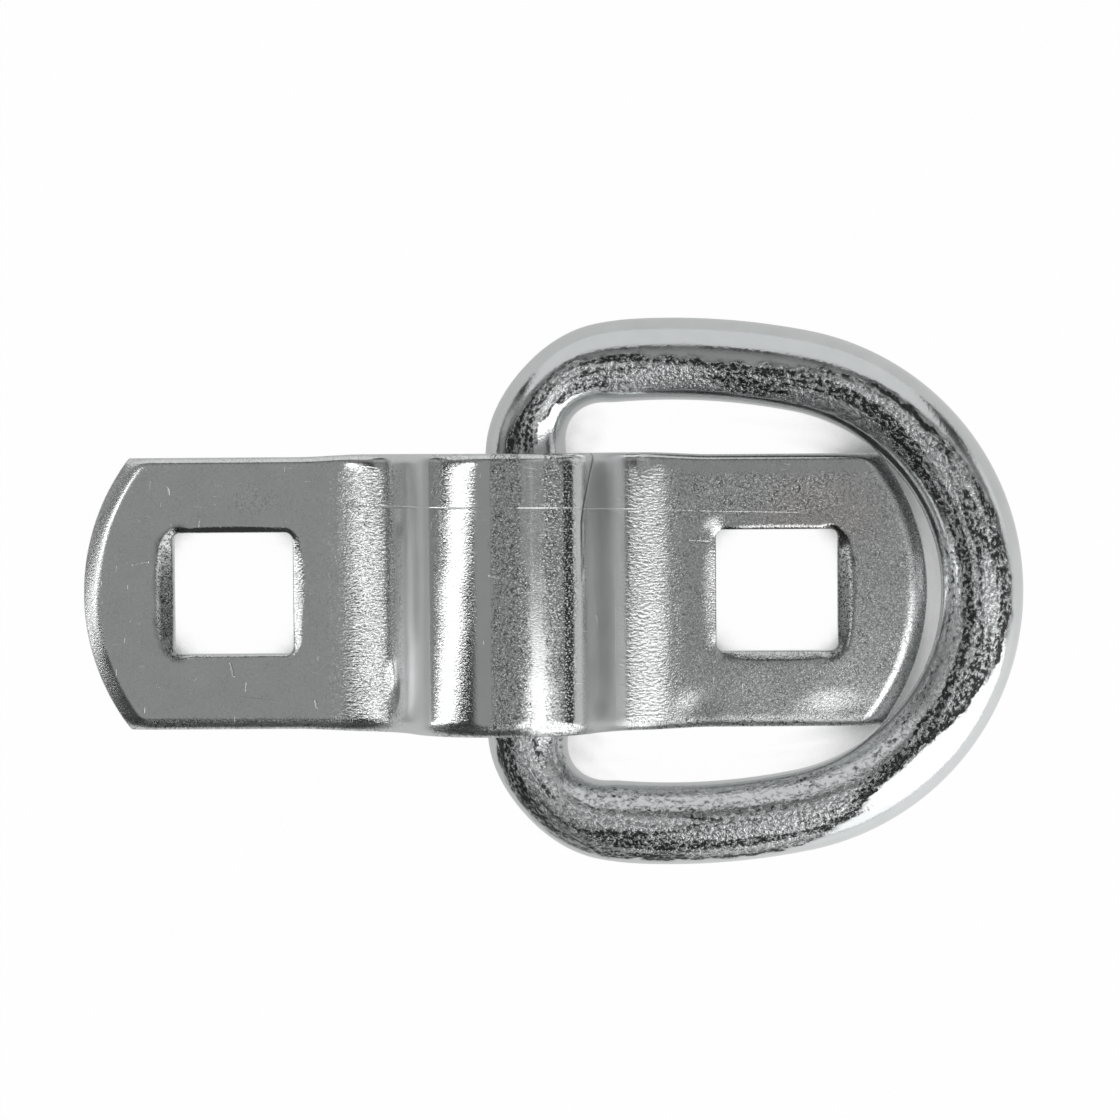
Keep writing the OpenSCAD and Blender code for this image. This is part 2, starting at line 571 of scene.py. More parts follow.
    def blank(self) -> bmesh.types.BMesh:
        """Makes the flat blank with its two holes.

        Returns:
            The blank, its upper face at z = 0 and its depth downwards.
        """
        bm = bmesh.new()
        self.flange_sheet(bm)
        copied = bmesh.ops.duplicate(bm, geom=bm.verts[:] + bm.edges[:] + bm.faces[:])["geom"]
        bmesh.ops.rotate(bm, verts=points_in(copied), cent=(0, 0, 0), matrix=Matrix.Rotation(math.pi, 3, "Z"))
        bmesh.ops.create_grid(
            bm, x_segments=self.hump_columns, y_segments=self.rows, size=0.5,
            matrix=Matrix.Diagonal((2 * self.flange, 2 * self.flat_half, 1, 1)),
        )
        bmesh.ops.remove_doubles(bm, verts=bm.verts[:], dist=self.weld)
        bmesh.ops.recalc_face_normals(bm, faces=bm.faces[:])
        if bm.faces[0].normal.z < 0:
            bmesh.ops.reverse_faces(bm, faces=bm.faces[:])
        grown = bmesh.ops.extrude_face_region(bm, geom=bm.faces[:], use_keep_orig=True)["geom"]
        bmesh.ops.translate(bm, verts=points_in(grown), vec=(0, 0, -self.path.thickness))
        uprights = [e for e in bm.edges if abs(e.verts[0].co.z - e.verts[1].co.z) > self.path.thickness / 2]
        steps = 2 * self.edge_steps + self.wall_steps
        bmesh.ops.subdivide_edges(bm, edges=uprights, cuts=steps - 1, use_grid_fill=True)
        return bm

    def edge_profile(self, radius: float) -> list[Pair]:
        """Profile of a rim, from the upper face to the underside.

        Args:
            radius: Rounding of its two corners.

        Returns:
            The depth and the outward step of each loop.
        """
        turns = [QUARTER * step / self.edge_steps for step in range(self.edge_steps + 1)]
        upper = [(radius * (1 - math.cos(turn)), radius * math.sin(turn)) for turn in turns]
        depth = self.path.thickness
        middle = [
            (radius + (depth - 2 * radius) * step / self.wall_steps, radius)
            for step in range(1, self.wall_steps)
        ]
        return upper + middle + [(depth - down, out) for down, out in reversed(upper)]

    def sheared(self, loop: Pair) -> Pair:
        """Depth and outward step of a sheared rim's loop, drawn in where the metal broke out below."""
        depth, out = loop
        thickness = self.path.thickness
        return depth, out - self.breakout * ramp(depth, thickness * self.breakout_from, thickness)

    def round_rims(self, bm: bmesh.types.BMesh) -> None:
        """Gives the long edges their mill rounding and the sheared edges a slight one.

        Args:
            bm: The flat blank.
        """
        long_profile, shear_profile = self.edge_profile(self.edge_r), self.edge_profile(self.shear_r)
        corner = self.arc_x(self.flat_half, self.shear_r)
        for vert in bm.verts:
            x, y = vert.co.x, vert.co.y
            level = round(-vert.co.z / self.path.thickness * (len(long_profile) - 1))
            on_end = abs(abs(x) - self.arc_x(y, self.shear_r)) < self.near
            on_long = abs(abs(y) - self.flat_half) < self.near
            gap, away = self.hole_distance(x, y)
            if on_long:
                depth, out = long_profile[level]
                y = math.copysign(self.flat_half + out, y)
                if abs(x) > self.flange:
                    end = self.arc_x(y, self.shear_r - (shear_profile[level][1] if on_end else 0.0))
                    share = (abs(x) - self.flange) / (corner - self.flange)
                    x = math.copysign(self.flange + (end - self.flange) * share, x)
                vert.co = (x, y, -depth)
            elif on_end:
                depth, out = self.sheared(shear_profile[level])
                y *= 1 + long_profile[level][1] / self.flat_half
                vert.co = (math.copysign(self.arc_x(y, self.shear_r - out), x), y, -depth)
            elif abs(gap - self.shear_r) < self.near:
                depth, out = self.sheared(shear_profile[level])
                vert.co = (x - away.x * out, y - away.y * out, -depth)

    def hole_lip(self, x: float, y: float) -> Lip:
        """Lip of the nearer hole in the direction of a point, blended round the corners.

        Args:
            x: Place along the blank.
            y: Place across it.

        Returns:
            The lip there.
        """
        lips = self.right_hole if x > 0 else self.left_hole
        turn = math.atan2(y, x - math.copysign(self.hole_x, x)) / QUARTER % 4
        nearest = round(turn)
        across = abs(turn - nearest) * 2
        other = (nearest + (1 if turn > nearest else -1)) % 4
        lip = lips[Side(nearest % 4)].blend(lips[Side(other)], 0.5 * self.corner_blend.at(across))
        bow = 1 - self.corner_loss * across ** 3
        return Lip(lip.width * bow, lip.depth * bow, lip.form)

    def sink(self, x: float, y: float) -> float:
        """Adds up the lips, the dents and the rolling's slight waves.

        Args:
            x: Place along the blank.
            y: Place across it.

        Returns:
            How far the upper face has sunk there.
        """
        sunk = 0.0
        if abs(x) > self.flange:
            end = self.right_end if x > 0 else self.left_end
            sunk = end.drop(self.end_r - math.hypot(abs(x) - self.end_x, y))
            gap, _ = self.hole_distance(x, y)
            sunk = max(sunk, self.hole_lip(x, y).drop(gap))
        edge = self.back_edge
        if y < 0:
            edge = self.left_front.blend(self.right_front, self.front_change.at(x))
        sunk += edge.drop(self.width / 2 - self.edge_r / 2 - abs(y))
        sunk += sum(dent.at(x, y) for dent in self.dents)
        return max(0.0, sunk + self.waves * (0.5 + ripple((x, y, 1.0), self.wave_size)))

    def near_edges(self, x: float, y: float) -> Edges:
        """How near a point of the blank lies to each kind of edge.

        Args:
            x: Place along the blank.
            y: Place across it.

        Returns:
            The nearness of each, from 0 to 1.
        """
        wear = self.wear
        long = wear.long_edge.at(abs(y)) * (1 if y < 0 else wear.back_edge)
        if abs(x) <= self.flange:
            return Edges(long=long)
        gap, _ = self.hole_distance(x, y)
        width = self.hole_lip(x, y).width
        hole = ramp(gap, width + wear.hole_rim[0], wear.hole_rim[1])
        end = wear.end_rim.at(self.end_r - math.hypot(abs(x) - self.end_x, y))
        wide = ramp(gap, width + wear.lip_reach[0], width + wear.lip_reach[1])
        beyond = abs(x - math.copysign(self.hole_x + wear.lip_at, x))
        return Edges(hole, end, wide * wear.lip_fade.at(beyond), long)

    def feel(self, x: float, y: float, depth: float) -> Feel:
        """Traits of the plating, and the painted shade, at a point of the blank.

        Args:
            x: Place along the blank.
            y: Place across it.
            depth: Depth below its upper face.

        Returns:
            The traits there.
        """
        wear = self.wear
        if depth > wear.skin:
            return Feel()
        across = wear.across.at(y)
        left_wall, right_wall = (rise.at(x) * fall.at(x) for rise, fall in (wear.left_wall, wear.right_wall))
        walls = max(left_wall, right_wall)
        crown, bend = wear.crown.at(x), wear.bend.at(x)
        x += wear.wander * ripple((y, x, wear.wander_seed), wear.wander_size)
        flange = wear.flange.at(abs(x))
        near = self.near_edges(x, y)

        widest = wear.crown_middle.end + wear.middle_widens * (1 - wear.middle_back.at(y))
        middle = band(x, wear.crown_middle.start, widest, wear.crown_middle.soft)
        middle = max(middle, wear.crown_right.at(x))
        tops = max(wear.crown_left.at(x), middle, wear.crown_gap.at(x))
        if x < 0:
            grain, speck = wear.left_grain, wear.left_speck + wear.left_patch.at(x, y)
        else:
            grain = 1 - wear.bare * wear.bare_edge.at(y)
            speck = grain * (wear.right_speck + wear.right_patch[0].at(x) * wear.right_patch[1].at(y))
        speck = max(crown * tops, flange * speck, wear.right_foot.at(x) * across)
        speck = max(speck, wear.edge_speck.strongest(near))
        grain = (1 - wear.wall_calm * walls) * (grain * flange + (1 - flange) * wear.hump_grain)
        fuzz = max(wear.foot_fuzz.at(abs(x)) * across, wear.edge_grain.strongest(near))

        wall = max(wear.left_wall_dull * left_wall, wear.right_wall_dull * right_wall, bend)
        dull = max(wall, wear.foot_hollow.at(abs(x)) * across, wear.edge_dull.strongest(near))
        # Painted shade: darker colour on the sheared lips, the crown's middle, the right-hand side and its
        # front edge.
        shade = max(
            wear.edge_painted_shade.strongest(near),
            wear.crown_painted_shade * crown * middle * wear.crown_painted_shade_fade.at(x),
            wear.right_painted_shade * wear.right_painted_shade_fade.at(x),
        )
        if x > wear.front_painted_shade_from and y < 0:
            shade = max(shade, wear.front_painted_shade * wear.front_painted_shade_fade.at(-y))
        return Feel(
            grain=max(grain, fuzz, wear.crown_stripe.at(x)),
            speck=max(speck * (1 - walls), wear.mottled.at(x) * across),
            wrinkle=max(zone.at(x) for zone in wear.wrinkles) * across,
            dull=wear.least_dull + dull,
            shade=shade,
            warm=wear.warm.at(x, y),
        )

    def press(self, bm: bmesh.types.BMesh) -> None:
        """Draws down the edges, notes each point's place and feel, and forms the hump.

        Args:
            bm: The flat blank with its rounded rims.
        """
        flat = bm.verts.layers.float_vector.new("flat")
        tones = {trait.name: bm.verts.layers.float.new(trait.name) for trait in fields(Feel)}
        thickness = self.path.thickness
        for vert in bm.verts:
            x, y, depth = vert.co.x, vert.co.y, -vert.co.z
            vert[flat] = Vector((x, y, depth))
            feel = self.feel(x, y, depth)
            for name, layer in tones.items():
                vert[layer] = getattr(feel, name)
            sunk = self.sink(x, y)
            depth = sunk + (thickness - sunk) * depth / thickness
            px, pz = self.path.place(x, thickness - depth)
            wide = self.spread * self.spread_fade.at(abs(x) - self.flange)
            vert.co = (px, y * (1 + wide / (self.width / 2)), pz)

    def build(self) -> bpy.types.Object:
        """Builds the bracket's mesh and hides the plain CAD solid that it stands for.

        Returns:
            The bracket, without its finish.
        """
        bm = self.blank()
        self.round_rims(bm)
        self.press(bm)
        piece = finished(bm, "pressed_bracket", self.crease)
        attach(piece, "bracket")
        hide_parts("mounting_bracket")
        return piece

    def dress(self, piece: bpy.types.Object) -> None:
        """Plates the bracket."""
        piece.data.materials.append(StrapZinc("bracket_zinc", (0.70, 0.71, 0.71), (0.08, 0.5)).material())


# Ring

@dataclass(frozen=True)
class PitEdge:
    """How far the pits reach down from the rod's crest at a heading round the ring, both in degrees."""

    heading: float
    reach: float


@dataclass
class TieRing:
    """Closed D of round rod, bent and zinc-plated, at rest over the bracket."""

    rod: float = 9.525
    thinner: float = 0.03
    eye_width: float = 44.45
    eye_length: float = 43.2
    corner_r: float = 5.1
    widest_at: float = 16.5
    leg_r: float = 78.0
    inner_gain: float = 0.5
    outer_loss: float = 0.95
    bend_rise: Fade = Fade(-0.15, 0.5)
    bend_fall: Fade = Fade(1.2, 0.5)
    bend_reach: float = 3.0
    pit_middle: float = 24.0
    outer_pits: tuple[PitEdge, ...] = (
        PitEdge(-180, 42), PitEdge(-120, 58), PitEdge(-85, 58), PitEdge(-45, 0), PitEdge(-5, 42),
        PitEdge(45, 20), PitEdge(90, -2), PitEdge(135, 14), PitEdge(165, 45),
    )
    inner_pits: tuple[PitEdge, ...] = (
        PitEdge(-180, 20), PitEdge(-120, 10), PitEdge(-60, 10), PitEdge(-15, 30), PitEdge(10, 30),
        PitEdge(60, 46), PitEdge(120, 44), PitEdge(142, 12), PitEdge(180, 10),
    )
    pit_soft: float = 8.0
    pit_wander: float = 7.0
    wander_size: Triple = (1.6, 14.0, 1.0)
    streak: float = 0.42
    streak_reach: float = 62.0
    streak_front: Fade = Fade(12.0, 4.0)
    border_width: float = 9.0
    border_soft: float = 4.0
    border_inset: float = 5.0
    lumps: float = 0.04
    lump_size: Triple = (0.9, 0.7, 0.7)
    crease: float = 60.0
    facets: int = 112
    step: float = 0.27
    weld: float = 0.03

    def __post_init__(self) -> None:
        """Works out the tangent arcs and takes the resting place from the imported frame."""
        self.bar_r = self.rod / 2
        leg_v = (self.eye_width + self.rod) / 2
        bow_u = self.eye_length + self.rod
        reach = bow_u - self.widest_at
        self.bow_r = (2 * self.leg_r * leg_v - leg_v ** 2 - reach ** 2) / (2 * (self.leg_r - reach))
        self.bow_mid = bow_u - self.bow_r
        self.leg_mid = leg_v - self.leg_r
        self.leg_to_bow = math.asin((reach - self.bow_r) / (self.leg_r - self.bow_r))
        self.bend_r = self.corner_r + self.bar_r
        self.leg_to_bend = math.asin((self.widest_at - self.bend_r) / (self.leg_r - self.bend_r))
        self.bend_v = self.leg_mid + (self.leg_r - self.bend_r) * math.cos(self.leg_to_bend)
        self.axis = Vector(frame["joints"][0]["pos_m"]) / MM
        low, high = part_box("d_ring")
        self.tilt = math.asin((high.z / MM - self.bar_r - self.axis.z) / bow_u)

    def sweep(self, bm: bmesh.types.BMesh) -> None:
        """Extrudes the rod's section along half of the D, then mirrors that half onto the other side.

        Args:
            bm: Empty mesh that takes the ring.
        """
        rod = bm.verts.layers.float_vector.new("rod")
        made = bmesh.ops.create_circle(
            bm, cap_ends=False, radius=self.bar_r - self.thinner / 2, segments=self.facets,
            matrix=Matrix.Rotation(QUARTER, 4, "X"),
        )
        for vert in made["verts"]:
            vert[rod] = Vector((0.0, vert.co.x, vert.co.z))
        runs = [
            (None, 0.0, self.bend_v),
            (Vector((self.bend_r, self.bend_v, 0)), self.bend_r, QUARTER - self.leg_to_bend),
            (Vector((self.widest_at, self.leg_mid, 0)), self.leg_r, self.leg_to_bend + self.leg_to_bow),
            (Vector((self.bow_mid, 0, 0)), self.bow_r, QUARTER - self.leg_to_bow),
        ]
        edges, along = bm.edges[:], 0.0
        for centre, radius, amount in runs:
            length = amount * radius if radius else amount
            count = round(length / self.step)
            for _ in range(count):
                verts, edges = pull_edges(bm, edges)
                if centre is None:
                    bmesh.ops.translate(bm, verts=verts, vec=(0, amount / count, 0))
                else:
                    turn = Matrix.Rotation(-amount / count, 3, "Z")
                    bmesh.ops.rotate(bm, verts=verts, cent=centre, matrix=turn)
                along += length / count
                for vert in verts:
                    vert[rod].x = along
        half = bm.verts[:] + bm.edges[:] + bm.faces[:]
        copied = points_in(bmesh.ops.duplicate(bm, geom=half)["geom"])
        bmesh.ops.scale(bm, verts=copied, vec=(1, -1, 1))
        for vert in copied:
            vert[rod].x = 2 * along - vert[rod].x
        bmesh.ops.remove_doubles(bm, verts=bm.verts[:], dist=self.weld)
        bmesh.ops.recalc_face_normals(bm, faces=bm.faces[:])

    def draw_bends(self, bm: bmesh.types.BMesh) -> None:
        """Thins the rod in its two tight bends, as bending draws it, and sharpens their inner side.

        Args:
            bm: The ring in its own plane.
        """
        inner = self.bend_r - self.bar_r
        for vert in bm.verts:
            u, v = vert.co.x - self.bend_r, abs(vert.co.y) - self.bend_v
            turn = math.atan2(v, -u)
            share = turn / (QUARTER - self.leg_to_bend)
            amount = self.bend_rise.at(share) * self.bend_fall.at(share)
            if u > self.bend_reach or not amount:
                continue
            radius = math.hypot(u, v)
            part = (radius - inner) / self.rod
            grown = radius + amount * (self.inner_gain * (1 - part) - self.outer_loss * part)
            vert.co.x = self.bend_r - math.cos(turn) * grown
            vert.co.y = math.copysign(self.bend_v + math.sin(turn) * grown, vert.co.y)

    def pit_reach(self, edges: tuple[PitEdge, ...], x: float, y: float) -> float:
        """How far the pits reach down one side of the rod.

        Args:
            edges: The reach at the headings in which it was read.
            x: Place in plan, from the bar's middle towards the bow.
            y: Place in plan, along the bar.

        Returns:
            The reach, as an angle from the crest in degrees.
        """
        heading = math.degrees(math.atan2(y, x - self.pit_middle))
        for last, following in zip(edges, edges[1:]):
            if heading <= following.heading:
                share = ramp(heading, last.heading, following.heading)
                return last.reach + (following.reach - last.reach) * share
        return edges[-1].reach

    def roughen(self, bm: bmesh.types.BMesh) -> None:
        """Marks where the plating is pitted and lets the surface sink there in small lumps.

        Args:
            bm: The ring in its own plane, crest up.
        """
        rod = bm.verts.layers.float_vector["rod"]
        pitting = bm.verts.layers.float.new("pitting")
        border = bm.verts.layers.float.new("border")
        bm.normal_update()
        for vert in bm.verts:
            along, inner, up = vert[rod]
            turn = math.degrees(math.atan2(inner, up))
            turn += self.pit_wander * ripple((along, turn, 0.0), self.wander_size)
            outer_edge = -self.pit_reach(self.outer_pits, vert.co.x, vert.co.y)
            inner_edge = self.pit_reach(self.inner_pits, vert.co.x, vert.co.y)
            pitted = band(turn, outer_edge + self.border_inset, inner_edge, self.pit_soft)
            streaked = self.streak * band(turn, inner_edge, self.streak_reach, self.pit_soft)
            vert[pitting] = max(pitted, streaked * self.streak_front.at(vert.co.y))
            vert[border] = band(turn, outer_edge, outer_edge + self.border_width, self.border_soft)
            lump = 0.5 + ripple((along, inner, up), self.lump_size)
            vert.co -= vert.normal * self.lumps * pitted * max(0.0, lump)

    def build(self) -> bpy.types.Object:
        """Builds the ring's mesh at rest and hides the plain CAD solid that it stands for.

        Returns:
            The ring, without its finish.
        """
        bm = bmesh.new()
        self.sweep(bm)
        self.draw_bends(bm)
        self.roughen(bm)
        bmesh.ops.rotate(bm, verts=bm.verts[:], cent=(0, 0, 0), matrix=Matrix.Rotation(-self.tilt, 3, "Y"))
        bmesh.ops.translate(bm, verts=bm.verts[:], vec=self.axis)
        piece = finished(bm, "forged_ring", self.crease)
        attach(piece, "ring")
        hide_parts("d_ring")
        return piece

    def dress(self, piece: bpy.types.Object) -> None:
        """Plates the ring."""
        piece.data.materials.append(RodZinc("ring_zinc", (0.66, 0.68, 0.68), (0.12, 0.35)).material())


# Finishes

@dataclass(frozen=True)
class Mottle:
    """Noise pattern: the size of its lumps, how finely they are broken up and how rough that is."""

    size: float = 1.0
    detail: float = 2.0
    rough: float = 0.5


@dataclass(frozen=True)
class Remap:
    """Range of values that is mapped onto another one, clamped."""

    low: float
    high: float
    to_low: float = 0.0
    to_high: float = 1.0


class Graph:
    """Small helper that adds and wires the nodes of one material or world."""

    def __init__(self, owner: bpy.types.Material | bpy.types.World) -> None:
        """Takes and empties the node tree that it fills."""
        owner.use_nodes = True
        self.tree = owner.node_tree
        self.tree.nodes.clear()

    def add(self, kind: str, settings: dict[str, object] | None = None, **inputs: object) -> bpy.types.Node:
        """Adds a node.

        Args:
            kind: Blender's name of the node type.
            settings: Properties to set on the node.
            **inputs: Values or sockets for its inputs, with spaces in their names as underscores.

        Returns:
            The new node.
        """
        node = self.tree.nodes.new(kind)
        for name, value in (settings or {}).items():
            setattr(node, name, value)
        for name, value in inputs.items():
            key = int(name[2:]) if name.startswith("in") and name[2:].isdigit() else name.replace("_", " ")
            socket = node.inputs[key]
            if isinstance(value, Socket):
                self.tree.links.new(value, socket)
            else:
                socket.default_value = value
        return node

    def math(self, operation: str, *values: Socket | float) -> Socket:
        """Adds a math node and returns its result."""
        inputs = {f"in{index}": value for index, value in enumerate(values)}
        return self.add("ShaderNodeMath", {"operation": operation}, **inputs).outputs[0]

    def plus(self, total: Socket | float, part: Socket, factor: Socket | float = 1.0) -> Socket:
        """Adds a part, times a factor, to a total."""
        return self.math("MULTIPLY_ADD", part, factor, total)

    def vector(self, operation: str, *values: Socket | Vector | Triple, output: str = "Vector") -> Socket:
        """Adds a vector math node and returns one of its results."""
        inputs = {f"in{index}": value for index, value in enumerate(values)}
        return self.add("ShaderNodeVectorMath", {"operation": operation}, **inputs).outputs[output]

    def scaled(self, vector: Socket | Vector, factor: Socket) -> Socket:
        """Adds a vector's product with a number."""
        return self.add("ShaderNodeVectorMath", {"operation": "SCALE"}, in0=vector, Scale=factor).outputs[0]

    def turned(self, place: Socket, degrees: float, factors: Triple) -> Socket:
        """Turns a place in plan and then stretches it."""
        turned = self.add("ShaderNodeMapping", Vector=place, Rotation=(0, 0, math.radians(degrees)))
        return self.vector("MULTIPLY", turned.outputs[0], factors)

    def attribute(self, name: str, output: str = "Fac") -> Socket:
        """Adds the reading of a value that is stored on the mesh."""
        return self.add("ShaderNodeAttribute", {"attribute_name": name}).outputs[output]

    def noise(self, vector: Socket, mottle: Mottle) -> Socket:
        """Adds a noise, with lumps sized in the units of vector."""
        return self.add("ShaderNodeTexNoise", Vector=vector, Scale=1 / mottle.size, Detail=mottle.detail,
                        Roughness=mottle.rough).outputs["Fac"]

    def lumps(self, vector: Socket, mottle: Mottle, amount: Socket | float) -> Socket:
        """Adds a noise centred on 0 and scaled by an amount."""
        return self.math("MULTIPLY", self.plus(-1.0, self.noise(vector, mottle), 2.0), amount)

    def remap(self, value: Socket, to: Remap) -> Socket:
        """Maps a range of values onto another one."""
        return self.add("ShaderNodeMapRange", {"clamp": True}, Value=value, From_Min=to.low, From_Max=to.high,
                        To_Min=to.to_low, To_Max=to.to_high).outputs[0]


@dataclass(frozen=True)
class Scratch:
    """Straight scratch between two places on the flat blank, in millimetres."""

    start: Pair
    end: Pair
    width: float
    strength: float
    core: float = 0.2
    rim: float = 0.75

    def mark(self, graph: Graph, place: Socket) -> Socket:
        """Wires the scratch.

        Args:
            graph: Graph of the strap's finish.
            place: Place on the flat blank.

        Returns:
            A mask that is the strength along the scratch and 0 beside it.
        """
        run = Vector((*self.end, 0.0)) - Vector((*self.start, 0.0))
        off = graph.vector("SUBTRACT", place, (*self.start, 0.0))
        along = graph.vector("DOT_PRODUCT", off, run / run.length_squared, output="Value")
        share = graph.math("MINIMUM", graph.math("MAXIMUM", along, 0.0), 1.0)
        gap = graph.vector("DISTANCE", off, graph.scaled(run, share), output="Value")
        return graph.remap(gap, Remap(self.core * self.width, self.rim * self.width, self.strength, 0.0))


@dataclass
class Zinc:
    """Bright zinc plating over steel, with its relief added up in millimetres."""

    name: str
    colour: Triple
    roughness: Pair
    warmth: Triple = (1.04, 0.97, 0.92)
    cloud_tone: Pair = (0.92, 0.16)
    darkest: float = 0.06

    def __post_init__(self) -> None:
        """Makes the empty material and its graph."""
        self.made = bpy.data.materials.new(self.name)
        self.graph = Graph(self.made)

    def finish(self, height: Socket, dull: Socket, tone: Socket, tint: Socket) -> bpy.types.Material:
        """Wires the shader.

        Args:
            height: Relief in millimetres.
            dull: 0 where the plating is brightest to 1 where it is dullest.
            tone: Factor on the colour.
            tint: Share of the warm tint.

        Returns:
            The finished material.
        """
        graph = self.graph
        warm = tuple(side * factor for side, factor in zip(self.colour, self.warmth))
        colour = graph.add("ShaderNodeMix", {"data_type": "RGBA"}, Factor=tint, in6=(*self.colour, 1),
                           in7=(*warm, 1)).outputs[2]
        colour = graph.scaled(colour, graph.math("MAXIMUM", tone, self.darkest))
        rough = graph.remap(dull, Remap(0.0, 1.0, *self.roughness))
        bump = graph.add("ShaderNodeBump", Height=height, Distance=MM, Strength=1.0).outputs[0]
        shader = graph.add("ShaderNodeBsdfPrincipled", Base_Color=colour, Metallic=1.0, Roughness=rough,
                           Normal=bump).outputs[0]
        graph.add("ShaderNodeOutputMaterial", Surface=shader)
        return self.made


@dataclass
class StrapZinc(Zinc):
    """Plating of the pressed strap: grained, speckled over the crown, wrinkled in the hollows."""

    grain: Mottle = Mottle(0.22)
    grain_height: float = 0.007
    dimples: Mottle = Mottle(0.22, 2.0, 0.6)
    dimple_edge: Remap = Remap(0.56, 0.68)
    dimple_depth: float = 0.008
    dimple_dull: float = 0.4
    wrinkles: Mottle = Mottle(1.0, 3.0)
    wrinkle_stretch: Triple = (1.3, 3.6, 1.0)
    wrinkle_height: float = 0.06
    clouds: Mottle = Mottle(3.5, 4.0)
    hairline: Mottle = Mottle(1.0, 0.0)
    hairline_turns: Pair = (8, 97)
    hairline_stretch: Triple = (0.5, 9.0, 1.0)
    hairline_edge: Remap = Remap(0.82, 0.88, 0.0, 0.4)
    scratch_depth: float = 0.02
    scratch_dull: float = 0.7
    fibre_base: Mottle = Mottle(0.3, 3.0, 0.6)
    fibre: Mottle = Mottle()
    fibre_turns: Triple = (15, 75, 130)
    fibre_stretch: Triple = (1.5, 6.5, 1.0)
    stain: Remap = Remap(0.3, 0.48, -0.75, 0.25)
    clusters: Mottle = Mottle(1.6)
    cluster_share: Remap = Remap(0.35, 0.6, 1.25, 0.6)
    crease_at: float = 8.25
    crease_swing: float = 1.9
    crease_back: Remap = Remap(8.0, 15.8)
    crease_bow: float = 1.4
    crease_front: Remap = Remap(1.0, 8.0)
    crease_skin: Remap = Remap(0.6, 1.0, 1.0, 0.0)
    crease_width: Remap = Remap(0.03, 0.2, 1.0, 0.0)
    crease_depth: float = 0.12
    # Painted shade along the crease.
    crease_painted_shade: float = 0.5
    scratches: tuple[Scratch, ...] = (
        Scratch((-22.5, 10.0), (8.0, 9.7), 0.14, 0.45),
        Scratch((8.0, 9.6), (38.7, 9.0), 0.12, 0.4),
        Scratch((-47.7, 3.4), (-46.0, 3.8), 0.22, 1.0),
        Scratch((-36.4, -8.2), (-36.1, -9.6), 0.2, 0.9),
        Scratch((-26.5, -12.6), (-26.4, -13.3), 0.22, 1.0),
        Scratch((-43.5, 12.4), (-43.4, 11.6), 0.14, 0.8),
        Scratch((-35.5, -12.0), (-30.6, -12.6), 0.12, 0.5),
        Scratch((-1.2, 2.2), (0.5, 1.9), 0.3, 1.0),
        Scratch((10.2, -2.6), (10.5, -3.7), 0.25, 1.0),
        Scratch((10.6, 7.5), (10.7, -2.0), 0.12, 0.4),
        Scratch((14.6, 5.5), (14.8, -15.0), 0.14, 0.4),
        Scratch((26.0, 5.8), (28.3, 5.7), 0.14, 0.6),
    )

    def scratched(self, place: Socket) -> Socket:
        """Scratches and sparse hairlines.

        Args:
            place: Place on the flat blank.

        Returns:
            A mask that is 0 where nothing has scratched the plating.
        """
        graph = self.graph
        masks = [scratch.mark(graph, place) for scratch in self.scratches]
        for turn in self.hairline_turns:
            drawn = graph.turned(place, turn, self.hairline_stretch)
            masks.append(graph.remap(graph.noise(drawn, self.hairline), self.hairline_edge))
        deepest = masks[0]
        for mask in masks[1:]:
            deepest = graph.math("MAXIMUM", deepest, mask)
        return deepest

    def fibres(self, place: Socket) -> Socket:
        """Short dark fibres that cross one another.

        Args:
            place: Place on the flat blank.

        Returns:
            A noise that is lowest in the fibres' middles.
        """
        graph = self.graph
        lowest = graph.noise(place, self.fibre_base)
        for turn in self.fibre_turns:
            drawn = graph.turned(place, turn, self.fibre_stretch)
            lowest = graph.math("MINIMUM", lowest, graph.noise(drawn, self.fibre))
        return lowest

    def crease(self, place: Socket) -> Socket:
        """Tool mark where the crown meets the right wall, swinging out towards the back edge.

        Args:
            place: Place on the flat blank.

        Returns:
            A mask that is 1 in the middle of the mark.
        """
        graph = self.graph
        parts = graph.add("ShaderNodeSeparateXYZ", Vector=place).outputs
        swing = graph.math("POWER", graph.remap(parts["Y"], self.crease_back), self.crease_bow)
        middle = graph.plus(self.crease_at, swing, self.crease_swing)
        gap = graph.math("ABSOLUTE", graph.math("SUBTRACT", parts["X"], middle))
        reach = graph.math(
            "MULTIPLY", graph.remap(parts["Z"], self.crease_skin), graph.remap(parts["Y"], self.crease_front),
        )
        return graph.math("MULTIPLY", graph.remap(gap, self.crease_width), reach)

    def material(self) -> bpy.types.Material:
        """Builds the finish.

        Returns:
            The material of the bracket.
        """
        graph = self.graph
        place, speck = graph.attribute("flat", "Vector"), graph.attribute("speck")
        grain = graph.lumps(place, self.grain, graph.attribute("grain"))
        dimple = graph.remap(graph.noise(place, self.dimples), self.dimple_edge)
        dimple = graph.math("MULTIPLY", dimple, speck)
        drawn = graph.vector("MULTIPLY", place, self.wrinkle_stretch)
        wrinkle = graph.lumps(drawn, self.wrinkles, graph.attribute("wrinkle"))
        scratched, crease = self.scratched(place), self.crease(place)
        height = graph.math("MULTIPLY", grain, self.grain_height)
        height = graph.plus(height, dimple, -self.dimple_depth)
        height = graph.plus(height, wrinkle, self.wrinkle_height)
        height = graph.plus(height, scratched, -self.scratch_depth)
        height = graph.plus(height, crease, -self.crease_depth)
        stain = graph.remap(self.fibres(place), self.stain)
        clusters = graph.remap(graph.noise(place, self.clusters), self.cluster_share)
        tone = graph.plus(self.cloud_tone[0], graph.noise(place, self.clouds), self.cloud_tone[1])
        tone = graph.plus(tone, graph.math("MULTIPLY", stain, clusters), speck)
        # Painted shade, stored on the mesh as shade, darkens the colour.
        tone = graph.math("SUBTRACT", tone, graph.attribute("shade"))
